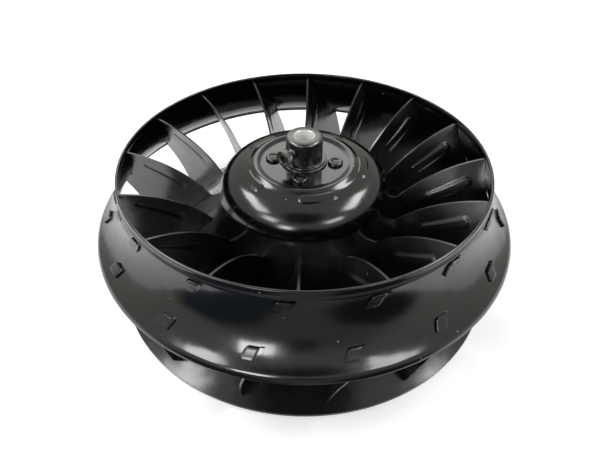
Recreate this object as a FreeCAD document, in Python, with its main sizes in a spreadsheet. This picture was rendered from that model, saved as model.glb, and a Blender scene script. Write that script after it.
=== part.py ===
import FreeCAD, Part
import math
import os
import re
import Sketcher

# Mixed-flow blower wheel: sixteen pressed blades, held by folded tabs between a flared front shroud
# and a dished back plate.
# Z is the shaft axis, with the inlet upwards, and Z = 0 is the underside of the back plate's outer edge.
# Lengths are in millimetres and angles in degrees.
SIZES = {
    # Front shroud
    "rim_height": 112.8,
    "inlet_radius": 146.0,
    "shroud_sheet": 2.0,
    "lip_chamfer": 0.5,
    "neck_band": 4.4,
    "neck_depth": 6.0,
    "neck_step": 1.0,
    "flare_radius": 53.3,
    "flare_turn": 54.7,
    "hem_radius": 7.0,
    # Back plate
    "plate_radius": 164.0,
    "plate_sheet": 2.0,
    "dish_radius": 205.0,
    "dish_slope": 59.5,
    "foot_radius": 67.8,
    "foot_curve": 12.0,
    "wall_slope": 75.0,
    "wall_length": 2.2,
    "shoulder_curve": 8.0,
    "crown_slope": 17.6,
    "bead_radius": 41.0,
    "bead_width": 5.6,
    "bead_height": 1.9,
    "bead_flank": 1.8,
    "pad_count": 5,
    "pad_radius": 47.5,
    "pad_width": 10.0,
    "pad_half_angle": 13.0,
    "pad_height": 1.2,
    "pad_turn": -6.0,
    "round_end_share": 0.53,
    # Hub, rivets and clamp screw
    "bore_radius": 7.94,
    "boss_radius": 14.7,
    "boss_height": 23.7,
    "boss_chamfer": 1.4,
    "bore_chamfer": 0.8,
    "spigot_radius": 18.5,
    "spigot_height": 3.6,
    "flange_radius": 33.0,
    "flange_thickness": 5.0,
    "hub_clearance": 0.2,
    "rivet_count": 4,
    "rivet_circle_radius": 25.3,
    "rivet_turn": -7.5,
    "rivet_head_radius": 6.2,
    "rivet_head_height": 2.6,
    "rivet_head_chamfer": 1.3,
    "rivet_shank_radius": 3.2,
    "rivet_tail_radius": 5.0,
    "rivet_tail_height": 2.0,
    "rivet_clearance": 0.1,
    "screw_turn": -142.0,
    "screw_height": 11.7,
    "screw_radius": 4.0,
    "screw_clearance": 0.1,
    "screw_head_radius": 6.5,
    "screw_head_height": 8.0,
    "screw_head_standoff": 0.4,
    "screw_tip_gap": 0.5,
    "screw_head_chamfer": 0.7,
    "socket_flats": 6.0,
    "socket_depth": 4.0,
    # Blades
    "blade_count": 16,
    "first_blade_angle": 87.7,
    "blade_sheet": 1.5,
    "strip_before": 20.0,
    "strip_after": 40.0,
    "blade_gap": 0.2,
    "tip_drop": 4.0,
    "leading_curve": 116.0,
    "root_radius": 80.6,
    "tail_radius": 157.7,
    "bend_radius": 175.0,
    "bend_offset": 0.3,
    "bend_roll": -143.9,
    "roller_dip": 29.4,
    "roller_skew": 28.3,
    "rib_radius": 118.8,
    "rib_drop": 30.0,
    "rib_length": 33.6,
    "rib_tilt": 33.2,
    "rib_width": 6.6,
    "rib_height": 1.6,
    # Tabs and their slots
    "tab_half_angle": 4.7,
    "upper_tab_angle": 6.8,
    "lower_tab_angle": 43.6,
    "flap_width": 9.2,
    "flap_gap": 0.15,
    "slot_clearance": 0.25,
    "plate_tab_half_angle": 1.5,
    "inner_plate_tab_angle": 43.0,
    "outer_plate_tab_angle": 29.0,
}

# Centres of the shroud's flare and hem, and of the plate's dish, foot and shoulder, in a half section.
FLARE_X = "(inlet_radius + neck_step + flare_radius)"
FLARE_Z = "(rim_height - neck_depth)"
HEM_X = f"({FLARE_X} - (flare_radius + hem_radius) * cos(flare_turn))"
HEM_Z = f"({FLARE_Z} - (flare_radius + hem_radius) * sin(flare_turn))"
DISH_X = "(foot_radius + dish_radius * sin(dish_slope))"
DISH_Z = f"sqrt((dish_radius + plate_sheet) ^ 2 - ({DISH_X} - plate_radius) ^ 2)"
FOOT_X = f"({DISH_X} - (dish_radius - foot_curve) * sin(dish_slope))"
FOOT_Z = f"({DISH_Z} - (dish_radius - foot_curve) * cos(dish_slope))"
WALL_X = f"({FOOT_X} - foot_curve * sin(wall_slope) - wall_length * cos(wall_slope))"
WALL_Z = f"({FOOT_Z} - foot_curve * cos(wall_slope) + wall_length * sin(wall_slope))"
SHOULDER_X = f"({WALL_X} - shoulder_curve * sin(wall_slope))"
SHOULDER_Z = f"({WALL_Z} - shoulder_curve * cos(wall_slope))"
CROWN_X = f"({SHOULDER_X} + shoulder_curve * sin(crown_slope))"
CROWN_Z = f"({SHOULDER_Z} + shoulder_curve * cos(crown_slope))"
FLOOR_Z = f"({CROWN_Z} + ({CROWN_X} - bead_radius) * tan(crown_slope))"
UNDERSIDE_Z = f"({FLOOR_Z} - plate_sheet)"


def bound(text):
    """Names the sheet in front of each size that an expression uses."""
    return re.sub(r"[a-z_]+", lambda word: "Sizes." + word[0] if word[0] in SIZES else word[0], text)


def size(doc, text):
    return float(doc.Sizes.evalExpression(bound(text)))


def bind(thing, path, text):
    thing.setExpression(path, bound(text))


def make_sheet(doc):
    sheet = doc.addObject("Spreadsheet::Sheet", "Sizes")
    for row, (name, value) in enumerate(SIZES.items(), 1):
        sheet.set(f"A{row}", name)
        sheet.set(f"B{row}", str(value))
        sheet.setAlias(f"B{row}", name)
    doc.recompute()


def draw(doc, sketch, corners):
    """Closed outline through corners (x, y).

    A corner (x, y, radius, side) starts an arc to the next one, whose centre is on the left for side 1.
    """
    places = [FreeCAD.Vector(size(doc, corner[0]), size(doc, corner[1]), 0) for corner in corners]
    ends = []
    for k, corner in enumerate(corners):
        start = places[k]
        finish = places[(k + 1) % len(corners)]
        if len(corner) == 2:
            ends.append((sketch.addGeometry(Part.LineSegment(start, finish), False), 1, 2))
            continue
        radius = size(doc, corner[2])
        half = (finish - start).Length / 2
        across = FreeCAD.Vector(start.y - finish.y, finish.x - start.x, 0).normalize()
        centre = (start + finish) / 2 + across * corner[3] * math.sqrt(max(radius ** 2 - half ** 2, 0))
        first, last = (start, finish) if corner[3] > 0 else (finish, start)
        circle = Part.Circle(centre, FreeCAD.Vector(0, 0, 1), radius)
        angles = [math.atan2(place.y - centre.y, place.x - centre.x) for place in (first, last)]
        index = sketch.addGeometry(Part.ArcOfCircle(circle, *angles), False)
        ends.append((index, 1, 2) if corner[3] > 0 else (index, 2, 1))
    for k, corner in enumerate(corners):
        index, begin, _ = ends[k]
        before, _, stop = ends[k - 1]
        sketch.addConstraint(Sketcher.Constraint("Coincident", before, stop, index, begin))
        level = ("DistanceX", corner[0], places[k].x, -2)
        upright = ("DistanceY", corner[1], places[k].y, -1)
        for kind, text, place, axis in (level, upright):
            if text == "0":
                sketch.addConstraint(Sketcher.Constraint("PointOnObject", index, begin, axis))
            else:
                name = sketch.addConstraint(Sketcher.Constraint(kind, -1, 1, index, begin, place))
                bind(sketch, f"Constraints[{name}]", text)
        if len(corner) == 4:
            name = sketch.addConstraint(Sketcher.Constraint("Radius", index, size(doc, corner[2])))
            bind(sketch, f"Constraints[{name}]", corner[2])


def body_sketch(doc, body, role, name, corners):
    sketch = body.newObject("Sketcher::SketchObject", name)
    plane = next(feature for feature in body.Origin.OriginFeatures if feature.Role == role)
    sketch.AttachmentSupport = [(plane, "")]
    sketch.MapMode = "FlatFace"
    draw(doc, sketch, corners)
    return sketch


def turned_body(doc, name, corners):
    """Body turned about Z from a half section."""
    body = doc.addObject("PartDesign::Body", name)
    sketch = body_sketch(doc, body, "XZ_Plane", name + "_section", corners)
    turned = body.newObject("PartDesign::Revolution", name + "_turned")
    turned.Profile = sketch
    turned.ReferenceAxis = (sketch, ["V_Axis"])
    turned.Angle = 360
    return body


def turned_region(doc, name, corners):
    """Solid of revolution about Z that trims other shapes."""
    sketch = doc.addObject("Sketcher::SketchObject", name + "_section")
    sketch.Placement = FreeCAD.Placement(FreeCAD.Vector(), FreeCAD.Rotation(FreeCAD.Vector(1, 0, 0), 90))
    draw(doc, sketch, corners)
    region = doc.addObject("Part::Revolution", name)
    region.Source = sketch
    region.Axis = FreeCAD.Vector(0, 0, 1)
    region.Angle = 360
    region.Solid = True
    return region


def combine(doc, kind, name, base, tool):
    result = doc.addObject(kind, name)
    result.Base = base
    result.Tool = tool
    return result


def on_flare(depth, angle):
    """Point at a depth under the outside of the flare, where positive depth is inside the wheel."""
    reach = f"(flare_radius + {depth})"
    return f"{FLARE_X} - {reach} * cos({angle})", f"{FLARE_Z} - {reach} * sin({angle})"


def on_hem(depth, angle):
    reach = f"(hem_radius - ({depth}))"
    return f"{HEM_X} + {reach} * cos({angle})", f"{HEM_Z} + {reach} * sin({angle})"


def on_dish(depth, angle):
    """Point at a depth under the top of the dish, at an angle from the upright through the dish's centre."""
    reach = f"(dish_radius + {depth})"
    return f"{DISH_X} - {reach} * sin({angle})", f"{DISH_Z} - {reach} * cos({angle})"


def outward_of(x, z, reach, slope):
    """Point at a reach outwards and upwards from (x, z), square to a slope."""
    return f"{x} + {reach} * sin({slope})", f"{z} + {reach} * cos({slope})"


def inward_of(x, z, reach, slope):
    return f"{x} - {reach} * sin({slope})", f"{z} - {reach} * cos({slope})"


def shroud_pressing(doc):
    outer_edge = "inlet_radius"
    inner_edge = "inlet_radius - shroud_sheet"
    neck_z = "rim_height - neck_band"
    corners = [
        (f"{inner_edge} + lip_chamfer", "rim_height"),
        (f"{outer_edge} - lip_chamfer", "rim_height"),
        (outer_edge, "rim_height - lip_chamfer"),
        (outer_edge, neck_z),
        (*on_flare("0", "0"), "flare_radius", 1),
        (*on_flare("0", "flare_turn"), "hem_radius", -1),
        on_hem("0", "0"),
        (*on_hem("shroud_sheet", "0"), "hem_radius - shroud_sheet", 1),
        (*on_flare("shroud_sheet", "flare_turn"), "flare_radius + shroud_sheet", -1),
        on_flare("shroud_sheet", "0"),
        (inner_edge, neck_z),
        (inner_edge, "rim_height - lip_chamfer"),
    ]
    return turned_body(doc, "shroud_pressing", corners)


def plate_pressing(doc):
    crown_top = "bead_radius + bead_flank"
    bead_inner = "bead_radius - bead_width"
    drop = "plate_sheet / cos(crown_slope)"
    foot_dish = f"{DISH_Z} - dish_radius * cos(dish_slope)"
    edge_angle = f"asin(({DISH_X} - plate_radius) / (dish_radius + plate_sheet))"
    edge_top = f"{DISH_Z} - sqrt(dish_radius ^ 2 - ({DISH_X} - plate_radius) ^ 2)"
    under_shoulder = "(shoulder_curve - plate_sheet)"
    under_foot = "(foot_curve + plate_sheet)"
    corners = [
        ("spigot_radius + hub_clearance", FLOOR_Z),
        (bead_inner, FLOOR_Z),
        (f"{bead_inner} + bead_flank", f"{FLOOR_Z} + bead_height"),
        ("bead_radius - bead_flank", f"{FLOOR_Z} + bead_height"),
        ("bead_radius", FLOOR_Z),
        (CROWN_X, CROWN_Z, "shoulder_curve", -1),
        outward_of(SHOULDER_X, SHOULDER_Z, "shoulder_curve", "wall_slope"),
        (*inward_of(FOOT_X, FOOT_Z, "foot_curve", "wall_slope"), "foot_curve", 1),
        ("foot_radius", foot_dish, "dish_radius", 1),
        ("plate_radius", edge_top),
        ("plate_radius", "0", "dish_radius + plate_sheet", -1),
        (*on_dish("plate_sheet", "dish_slope"), under_foot, -1),
        inward_of(FOOT_X, FOOT_Z, under_foot, "wall_slope"),
        (*outward_of(SHOULDER_X, SHOULDER_Z, under_shoulder, "wall_slope"), under_shoulder, 1),
        inward_of(CROWN_X, CROWN_Z, "plate_sheet", "crown_slope"),
        ("bead_radius", f"{FLOOR_Z} - {drop}"),
        ("bead_radius - bead_flank", f"{UNDERSIDE_Z} + bead_height"),
        (f"{bead_inner} + bead_flank", f"{UNDERSIDE_Z} + bead_height"),
        (bead_inner, UNDERSIDE_Z),
        ("spigot_radius + hub_clearance", UNDERSIDE_Z),
    ]
    return turned_body(doc, "plate_pressing", corners)


def roller_placement(doc):
    """Section plane of the rolled blade sheet.

    Its normal is the roller's axis, and its X points from the blade's tip to that axis.
    """
    dip = math.radians(size(doc, "roller_dip"))
    skew = math.radians(size(doc, "roller_skew"))
    roll = math.radians(size(doc, "bend_roll"))
    along = FreeCAD.Vector(math.cos(dip) * math.cos(skew), -math.cos(dip) * math.sin(skew), -math.sin(dip))
    side = along.cross(FreeCAD.Vector(0, 0, 1)).normalize()
    up = side.cross(along)
    inward = side * math.cos(roll) + up * math.sin(roll)
    tip = FreeCAD.Vector(size(doc, TIP_X), 0, size(doc, TIP_Z))
    turn = FreeCAD.Rotation(inward, along.cross(inward), along, "ZXY")
    return FreeCAD.Placement(tip, turn)


def rolled_sheet(doc, name, near, far):
    """Strip rolled round the blade's cylinder, between two distances behind the blade's front face."""
    centre = "(bend_radius + bend_offset)"
    inner = f"(bend_radius - {near})"
    outer = f"(bend_radius - {far})"
    start = "(180 - strip_before)"
    finish = "(180 + strip_after)"
    corners = [
        (f"{centre} + {outer} * cos{start}", f"{outer} * sin{start}", outer, 1),
        (f"{centre} + {outer} * cos{finish}", f"{outer} * sin{finish}"),
        (f"{centre} + {inner} * cos{finish}", f"{inner} * sin{finish}", inner, -1),
        (f"{centre} + {inner} * cos{start}", f"{inner} * sin{start}"),
    ]
    sketch = doc.addObject("Sketcher::SketchObject", name + "_section")
    sketch.Placement = roller_placement(doc)
    draw(doc, sketch, corners)
    strip = doc.addObject("Part::Extrusion", name)
    strip.Base = sketch
    strip.DirMode = "Normal"
    strip.Solid = True
    bind(strip, "LengthFwd", "plate_radius")
    bind(strip, "LengthRev", "plate_radius / 2")
    return strip


TIP_X = "(inlet_radius - shroud_sheet - blade_gap)"
TIP_Z = "(rim_height - tip_drop)"


def on_plate_top(radius):
    """Point of a blade's edge that rides on the dish."""
    return radius, f"{DISH_Z} - sqrt((dish_radius - blade_gap) ^ 2 - ({DISH_X} - {radius}) ^ 2)"


def blade_root():
    return on_plate_top("root_radius")


def blade_tail():
    return on_plate_top("tail_radius")


def blade_region(doc):
    depth = "shroud_sheet + blade_gap"
    corners = [
        (TIP_X, TIP_Z),
        (TIP_X, "rim_height - neck_band"),
        (*on_flare(depth, "0"), f"flare_radius + {depth}", 1),
        (*on_flare(depth, "flare_turn"), f"hem_radius - ({depth})", -1),
        on_hem(depth, "0"),
        (*blade_tail(), "dish_radius - blade_gap", -1),
        (*blade_root(), "leading_curve", -1),
    ]
    return turned_region(doc, "blade_region", corners)


def region_across(doc, name, point, depths, middle, half):
    """Straight-sided ring between two depths of the flare or the dish, where a tab lies."""
    outside, inside = depths
    corners = [
        point(outside, f"({middle} - {half})"),
        point(outside, f"({middle} + {half})"),
        point(inside, f"({middle} + {half})"),
        point(inside, f"({middle} - {half})"),
    ]
    return turned_region(doc, name, corners)


def tab_regions(doc, name, shroud_depths, plate_depths, spread):
    """Two rings across the shroud and two across the plate."""
    shroud_half = f"(tab_half_angle + {spread} / flare_radius * 180 / pi)"
    plate_half = f"(plate_tab_half_angle + {spread} / dish_radius * 180 / pi)"
    upper, lower = "upper_tab_angle", "lower_tab_angle"
    inner, outer = "inner_plate_tab_angle", "outer_plate_tab_angle"
    shroud = [
        region_across(doc, name + "_upper", on_flare, shroud_depths, upper, shroud_half),
        region_across(doc, name + "_lower", on_flare, shroud_depths, lower, shroud_half),
    ]
    plate = [
        region_across(doc, name + "_inner", on_dish, plate_depths, inner, plate_half),
        region_across(doc, name + "_outer", on_dish, plate_depths, outer, plate_half),
    ]
    return shroud, plate


def joined(doc, name, shapes):
    group = doc.addObject("Part::MultiFuse", name)
    group.Shapes = shapes
    return group


def blade_shapes(doc):
    """One blade, with its tip in the XZ plane, and the slots that it needs in the shroud and the plate."""
    stock = rolled_sheet(doc, "blade_stock", "0", "blade_sheet")
    flap_stock = rolled_sheet(doc, "flap_stock", "(0 - flap_width)", "0")
    rib_stock = rolled_sheet(doc, "rib_stock", "(0 - rib_height)", "0")
    slot_stock = rolled_sheet(doc, "slot_stock", "(0 - slot_clearance)", "(blade_sheet + slot_clearance)")

    outer = "(0 - flap_gap - blade_sheet)"
    near = "(0 - flap_gap)"
    under = "(plate_sheet + flap_gap + blade_sheet)"
    below = "(plate_sheet + flap_gap)"
    above = "(0 - blade_sheet)"
    inside = "(shroud_sheet + blade_sheet)"
    beneath = "(plate_sheet + blade_sheet)"
    stems = tab_regions(doc, "stem", (outer, inside), (under, above), "0")
    flaps = tab_regions(doc, "flap", (outer, near), (under, below), "0")
    slots = tab_regions(doc, "slot", (above, inside), (beneath, above), "slot_clearance")

    region = joined(doc, "blade_and_stems", [blade_region(doc), *stems[0], *stems[1]])
    sheet = combine(doc, "Part::Common", "plain_blade", stock, region)
    flap_bands = joined(doc, "flap_bands", [*flaps[0], *flaps[1]])
    flap = combine(doc, "Part::Common", "flaps", flap_stock, flap_bands)
    rib = combine(doc, "Part::Common", "rib", rib_stock, rib_prism(doc, "rib_outside", "rib_width"))
    groove = rib_prism(doc, "rib_inside", "(rib_width - 2 * blade_sheet)")
    grooved = combine(doc, "Part::Cut", "grooved_blade", sheet, groove)
    blade = joined(doc, "blade", [grooved, flap, rib])
    shroud_bands = joined(doc, "shroud_slot_bands", slots[0])
    plate_bands = joined(doc, "plate_slot_bands", slots[1])
    shroud_slot = combine(doc, "Part::Common", "shroud_slot", slot_stock, shroud_bands)
    plate_slot = combine(doc, "Part::Common", "plate_slot", slot_stock, plate_bands)
    return blade, shroud_slot, plate_slot


def rib_prism(doc, name, width):
    """Round-ended bar through the blade, along the tangent, for the rib that stiffens the leading edge."""
    sketch = doc.addObject("Sketcher::SketchObject", name + "_outline")
    sketch.Placement = FreeCAD.Placement(FreeCAD.Vector(), FreeCAD.Rotation(FreeCAD.Vector(1, 0, 0), 90))
    end = f"{width} * round_end_share"
    middle_z = "rim_height - rib_drop"
    half_x, half_z = "rib_length / 2 * cos(rib_tilt)", "rib_length / 2 * sin(rib_tilt)"
    side_x, side_z = f"{width} / 2 * sin(rib_tilt)", f"{width} / 2 * cos(rib_tilt)"
    corners = []
    for along, low, high in (("-", "+", "-"), ("+", "+", "-"), ("+", "-", "+"), ("-", "-", "+")):
        x = f"rib_radius {along} {half_x} {low} {side_x}"
        z = f"{middle_z} {along} {half_z} {high} {side_z}"
        corners.append((x, z))
    corners[1] += (end, 1)
    corners[3] += (end, 1)
    draw(doc, sketch, corners)
    prism = doc.addObject("Part::Extrusion", name)
    prism.Base = sketch
    prism.Dir = FreeCAD.Vector(0, 1, 0)
    prism.Solid = True
    bind(prism, "LengthFwd", "root_radius / 2")
    bind(prism, "LengthRev", "root_radius / 2")
    return prism


def ring(doc, name, source, count, start):
    """Copies of a shape around the axis, from the angle of the first."""
    doc.recompute()
    copies = []
    for k in range(count):
        copy = source.Shape.copy()
        copy.rotate(FreeCAD.Vector(), FreeCAD.Vector(0, 0, 1), start + 360 * k / count)
        copies.append(copy)
    feature = doc.addObject("Part::Feature", name)
    feature.Shape = Part.Compound(copies)
    return feature


def rivet_holes(doc, body, name):
    """Ring of rivet holes through a pressing or a flange."""
    sketch = body.newObject("Sketcher::SketchObject", name + "_circle")
    plane = next(feature for feature in body.Origin.OriginFeatures if feature.Role == "XY_Plane")
    sketch.AttachmentSupport = [(plane, "")]
    sketch.MapMode = "FlatFace"
    x = "rivet_circle_radius * cos(rivet_turn)"
    y = "rivet_circle_radius * sin(rivet_turn)"
    radius = "rivet_shank_radius + rivet_clearance"
    centre = FreeCAD.Vector(size(doc, x), size(doc, y), 0)
    circle = sketch.addGeometry(Part.Circle(centre, FreeCAD.Vector(0, 0, 1), size(doc, radius)), False)
    for kind, text, place in (("DistanceX", x, centre.x), ("DistanceY", y, centre.y)):
        number = sketch.addConstraint(Sketcher.Constraint(kind, -1, 1, circle, 3, place))
        bind(sketch, f"Constraints[{number}]", text)
    number = sketch.addConstraint(Sketcher.Constraint("Radius", circle, size(doc, radius)))
    bind(sketch, f"Constraints[{number}]", radius)
    pocket = body.newObject("PartDesign::Pocket", name)
    pocket.Profile = sketch
    pocket.Type = "ThroughAll"
    pocket.Midplane = True
    doc.recompute()
    pattern = body.newObject("PartDesign::PolarPattern", name + "_ring")
    pattern.Originals = [pocket]
    pattern.Axis = (sketch, ["N_Axis"])
    pattern.Angle = 360
    bind(pattern, "Occurrences", "rivet_count")
    body.Tip = pattern


def pad_prism(doc, name, width):
    """Curved round-ended bar along Z over one of the plate's pressed pads."""
    sketch = doc.addObject("Sketcher::SketchObject", name + "_outline")
    far = f"(pad_radius + {width} / 2)"
    near = f"(pad_radius - {width} / 2)"
    end = f"{width} * round_end_share"
    far_x, far_y = f"{far} * cos(pad_half_angle)", f"{far} * sin(pad_half_angle)"
    near_x, near_y = f"{near} * cos(pad_half_angle)", f"{near} * sin(pad_half_angle)"
    corners = [
        (far_x, f"0 - {far_y}", far, 1),
        (far_x, far_y, end, 1),
        (near_x, near_y, near, -1),
        (near_x, f"0 - {near_y}", end, 1),
    ]
    draw(doc, sketch, corners)
    prism = doc.addObject("Part::Extrusion", name)
    prism.Base = sketch
    prism.Dir = FreeCAD.Vector(0, 0, 1)
    prism.Solid = True
    bind(prism, "LengthFwd", "rim_height")
    return prism


def crown_band(doc, name, above, below):
    """Ring along the crown's gentle cone, between a height above its top and a depth below it."""
    inner = "(pad_radius - pad_width)"
    outer = "(pad_radius + pad_width)"
    inner_z = f"{FLOOR_Z} - ({inner} - bead_radius) * tan(crown_slope)"
    outer_z = f"{FLOOR_Z} - ({outer} - bead_radius) * tan(crown_slope)"
    corners = [
        (inner, f"{inner_z} - {below}"),
        (outer, f"{outer_z} - {below}"),
        (outer, f"{outer_z} + {above}"),
        (inner, f"{inner_z} + {above}"),
    ]
    return turned_region(doc, name, corners)


def back_plate(doc, slots):
    pressing = plate_pressing(doc)
    rivet_holes(doc, pressing, "plate_rivet_holes")
    raised_band = crown_band(doc, "pad_band", "pad_height", "(plate_sheet / 2)")
    pad = combine(doc, "Part::Common", "pad", raised_band, pad_prism(doc, "pad_outside", "pad_width"))
    under_pad = "(pad_height - plate_sheet / cos(crown_slope))"
    recess_band = crown_band(doc, "recess_band", under_pad, "(2 * plate_sheet)")
    recess_prism = pad_prism(doc, "pad_inside", "(pad_width - 2 * plate_sheet)")
    recess = combine(doc, "Part::Common", "pad_recess", recess_band, recess_prism)
    count = round(size(doc, "pad_count"))
    start = size(doc, "pad_turn")
    padded = joined(doc, "padded_plate", [pressing, ring(doc, "pads", pad, count, start)])
    recesses = ring(doc, "pad_recesses", recess, count, start)
    recessed = combine(doc, "Part::Cut", "recessed_plate", padded, recesses)
    return combine(doc, "Part::Cut", "back_plate", recessed, slots)


def hub(doc):
    bottom = f"({UNDERSIDE_Z} - flange_thickness)"
    top = f"({FLOOR_Z} + boss_height)"
    corners = [
        ("bore_radius + bore_chamfer", bottom),
        ("flange_radius", bottom),
        ("flange_radius", UNDERSIDE_Z),
        ("spigot_radius", UNDERSIDE_Z),
        ("spigot_radius", f"{FLOOR_Z} + spigot_height"),
        ("boss_radius", f"{FLOOR_Z} + spigot_height"),
        ("boss_radius", f"{top} - boss_chamfer"),
        ("boss_radius - boss_chamfer", top),
        ("bore_radius + bore_chamfer", top),
        ("bore_radius", f"{top} - bore_chamfer"),
        ("bore_radius", f"{bottom} + bore_chamfer"),
    ]
    turned = turned_body(doc, "hub_turned", corners)
    rivet_holes(doc, turned, "hub_rivet_holes")
    hole = doc.addObject("Part::Cylinder", "screw_hole")
    bind(hole, "Radius", "screw_radius + screw_clearance")
    bind(hole, "Height", "2 * boss_radius")
    hole.Placement.Rotation = FreeCAD.Rotation(FreeCAD.Vector(0, 1, 0), 90)
    turned_hole = doc.addObject("Part::Compound", "turned_screw_hole")
    turned_hole.Links = [hole]
    place_about_axis(turned_hole, "screw_turn", f"{FLOOR_Z} + screw_height")
    return combine(doc, "Part::Cut", "hub", turned, turned_hole)


def place_about_axis(thing, angle, height):
    thing.Placement = FreeCAD.Placement(FreeCAD.Vector(), FreeCAD.Rotation(FreeCAD.Vector(0, 0, 1), 1))
    bind(thing, "Placement.Rotation.Angle", angle)
    bind(thing, "Placement.Base.z", height)


def clamp_screw(doc):
    """Socket head cap screw along X, turned to its own angle round the hub."""
    tip = "(bore_radius + screw_tip_gap)"
    seat = "(boss_radius + screw_head_standoff)"
    face = f"({seat} + screw_head_height)"
    corners = [
        (tip, "0"),
        (face, "0"),
        (face, "screw_head_radius - screw_head_chamfer"),
        (f"{face} - screw_head_chamfer", "screw_head_radius"),
        (seat, "screw_head_radius"),
        (seat, "screw_radius"),
        (tip, "screw_radius"),
    ]
    body = doc.addObject("PartDesign::Body", "screw_turned")
    sketch = body_sketch(doc, body, "XZ_Plane", "screw_section", corners)
    turned = body.newObject("PartDesign::Revolution", "screw_turning")
    turned.Profile = sketch
    turned.ReferenceAxis = (sketch, ["H_Axis"])
    turned.Angle = 360
    socket = doc.addObject("Part::Prism", "screw_socket")
    socket.Polygon = 6
    bind(socket, "Circumradius", "socket_flats / 2 / cos(30)")
    bind(socket, "Height", "socket_depth + 1")
    socket.Placement = FreeCAD.Placement(FreeCAD.Vector(), FreeCAD.Rotation(FreeCAD.Vector(0, 1, 0), 90))
    bind(socket, "Placement.Base.x", f"{face} - socket_depth")
    screw = combine(doc, "Part::Cut", "clamp_screw", body, socket)
    place_about_axis(screw, "screw_turn", f"{FLOOR_Z} + screw_height")
    return screw


def hub_rivets(doc):
    bottom = f"({UNDERSIDE_Z} - flange_thickness)"
    top = f"({FLOOR_Z} + rivet_head_height)"
    corners = [
        ("0", f"{bottom} - rivet_tail_height"),
        ("rivet_tail_radius", f"{bottom} - rivet_tail_height"),
        ("rivet_tail_radius", bottom),
        ("rivet_shank_radius", bottom),
        ("rivet_shank_radius", FLOOR_Z),
        ("rivet_head_radius", FLOOR_Z),
        ("rivet_head_radius", f"{top} - rivet_head_chamfer"),
        ("rivet_head_radius - rivet_head_chamfer", top),
        ("0", top),
    ]
    rivet = turned_body(doc, "rivet", corners)
    bind(rivet, "Placement.Base.x", "rivet_circle_radius")
    return ring(doc, "hub_rivets", rivet, round(size(doc, "rivet_count")), size(doc, "rivet_turn"))


def main():
    doc = FreeCAD.newDocument("fan_wheel")
    make_sheet(doc)
    blade, shroud_slot, plate_slot = blade_shapes(doc)
    count = round(size(doc, "blade_count"))
    first = size(doc, "first_blade_angle")
    shroud_slots = ring(doc, "shroud_slots", shroud_slot, count, first)
    plate_slots = ring(doc, "plate_slots", plate_slot, count, first)
    nodes = [
        combine(doc, "Part::Cut", "front_shroud", shroud_pressing(doc), shroud_slots),
        back_plate(doc, plate_slots),
        hub(doc),
        hub_rivets(doc),
        clamp_screw(doc),
    ]
    for k in range(count):
        copy = doc.addObject("Part::Compound", f"blade_{k + 1:02d}")
        copy.Links = [blade]
        place_about_axis(copy, f"first_blade_angle - {k} * 360 / blade_count", "0")
        nodes.append(copy)
    doc.recompute()
    for thing in doc.Objects:
        if "Invalid" in thing.State or "Error" in thing.State:
            raise RuntimeError(f"{thing.Label} failed: {thing.State}")
    for node in nodes:
        if node.Shape.isNull() or not node.Shape.isValid():
            raise RuntimeError(f"{node.Label} has no valid shape")
    os.makedirs("parts", exist_ok=True)
    for node in nodes:
        node.Shape.exportStep(f"parts/{node.Label}.step")


main()
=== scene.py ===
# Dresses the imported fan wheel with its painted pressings, turned hub, rivets and screw, on a pale studio table.
import math

import bpy
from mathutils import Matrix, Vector


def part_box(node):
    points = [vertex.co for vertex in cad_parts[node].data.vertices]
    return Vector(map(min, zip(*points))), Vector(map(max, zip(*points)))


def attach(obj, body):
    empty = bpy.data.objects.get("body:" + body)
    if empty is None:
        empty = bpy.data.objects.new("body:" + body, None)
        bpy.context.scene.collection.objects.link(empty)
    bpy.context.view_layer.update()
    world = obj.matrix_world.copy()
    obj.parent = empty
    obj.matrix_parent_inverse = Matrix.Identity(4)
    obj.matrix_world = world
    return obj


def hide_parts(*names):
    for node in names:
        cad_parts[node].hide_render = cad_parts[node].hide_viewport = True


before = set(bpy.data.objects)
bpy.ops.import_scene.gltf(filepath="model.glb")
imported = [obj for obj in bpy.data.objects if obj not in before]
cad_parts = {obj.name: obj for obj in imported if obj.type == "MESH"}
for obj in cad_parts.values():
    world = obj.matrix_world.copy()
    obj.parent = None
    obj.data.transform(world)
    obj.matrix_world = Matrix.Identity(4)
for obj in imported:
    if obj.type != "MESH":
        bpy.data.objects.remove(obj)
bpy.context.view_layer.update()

bl_info = {
    "name": "Fan wheel",
    "version": (1, 0, 0),
    "blender": (4, 5, 0),
    "location": "View3D > Sidebar > Fan Wheel",
    "description": "Models a pressed-steel mixed-flow fan wheel and its studio table",
    "category": "Object",
}

MM = 0.001
QUARTER = math.pi / 2

# Heights are measured from the table, which the back plate's edge stands on, and radii from the shaft's axis.
RIM_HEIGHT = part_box("front_shroud")[1].z
HUB_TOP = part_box("hub")[1].z
HUB_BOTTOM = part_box("hub")[0].z
FLANGE_THICKNESS = 5 * MM
PLATE_SHEET = 2 * MM
FLOOR_HEIGHT = HUB_BOTTOM + FLANGE_THICKNESS + PLATE_SHEET

# Front shroud
INLET_RADIUS = 146 * MM
SHROUD_SHEET = 2 * MM
LIP_ROUND = 0.9 * MM
HEM_ROUND = 0.15 * MM
NECK_BAND = 4.4 * MM
NECK_DEPTH = 6 * MM
NECK_STEP = 1 * MM
FLARE_RADIUS = 53.3 * MM
FLARE_TURN = math.radians(54.7)
HEM_RADIUS = 7 * MM
FLARE_X = INLET_RADIUS + NECK_STEP + FLARE_RADIUS
FLARE_Z = RIM_HEIGHT - NECK_DEPTH
HEM_X = FLARE_X - (FLARE_RADIUS + HEM_RADIUS) * math.cos(FLARE_TURN)
HEM_Z = FLARE_Z - (FLARE_RADIUS + HEM_RADIUS) * math.sin(FLARE_TURN)

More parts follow.
